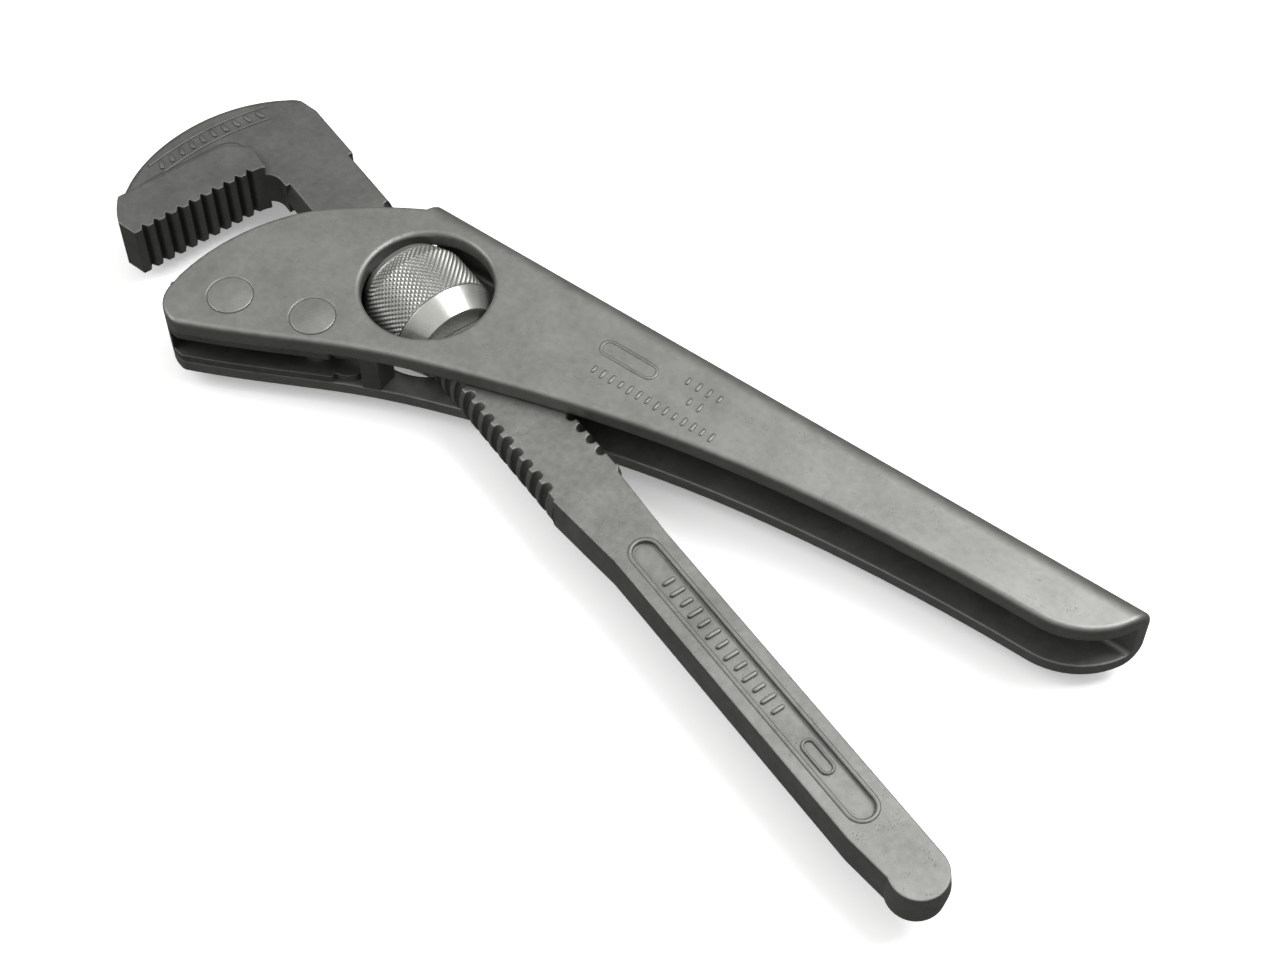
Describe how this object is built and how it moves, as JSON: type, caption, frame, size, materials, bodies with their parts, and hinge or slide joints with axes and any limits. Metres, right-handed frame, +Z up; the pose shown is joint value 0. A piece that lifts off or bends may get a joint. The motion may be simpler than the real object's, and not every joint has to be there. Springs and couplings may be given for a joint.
{
  "type": "pipe wrench",
  "caption": "Adjustable pipe wrench: pressed channel handle with toothed fixed jaw, and a threaded hook-jaw lever set by a knurled barrel nut in the handle's window.",
  "frame": {"origin": "on the surface the wrench lies on, under the middle of its footprint", "axes": "+X runs along the handle's back towards the tip of the grip, +Y points out of the handle's back, +Z is up through the nut window"},
  "size_m": [0.2371, 0.0843, 0.024],
  "materials": {
    "handle_steel": "satin pressed steel sheet, dull plated",
    "jaw_steel": "dark hardened steel, satin",
    "rivet_steel": "flush rivet heads, satin",
    "lever_steel": "forged steel, dull plated",
    "nut_steel": "diamond knurled steel",
    "collar_steel": "smooth turned steel"
  },
  "bodies": {
    "handle": {"handle_channel": "handle_steel", "fixed_jaw": "jaw_steel", "front_rivet": "rivet_steel", "rear_rivet": "rivet_steel"},
    "swivel": {"thrust_collar": "collar_steel"},
    "nut": {"adjusting_nut": "nut_steel"},
    "lever": {"jaw_lever": "lever_steel"}
  },
  "joints": [
    {"name": "lever_swing", "type": "hinge", "parent": "handle", "child": "swivel", "pos_m": [-0.0433, 0.0147, 0.012], "axis": [0, 0, 1], "range_deg": [-3, 4]},
    {"name": "nut_spin", "type": "hinge", "parent": "swivel", "child": "nut", "pos_m": [-0.0433, 0.0147, 0.012], "axis": [0.9494, -0.314, 0], "range_deg": [-722, 2470.6]},
    {"name": "jaw_slide", "type": "slide", "parent": "swivel", "child": "lever", "axis": [-0.9494, 0.314, 0], "range_m": [-0.007, 0.024]}
  ],
  "couplings": [
    {"joint": "nut_spin", "follows": "jaw_slide", "rad_per_m": 1795.2}
  ]
}
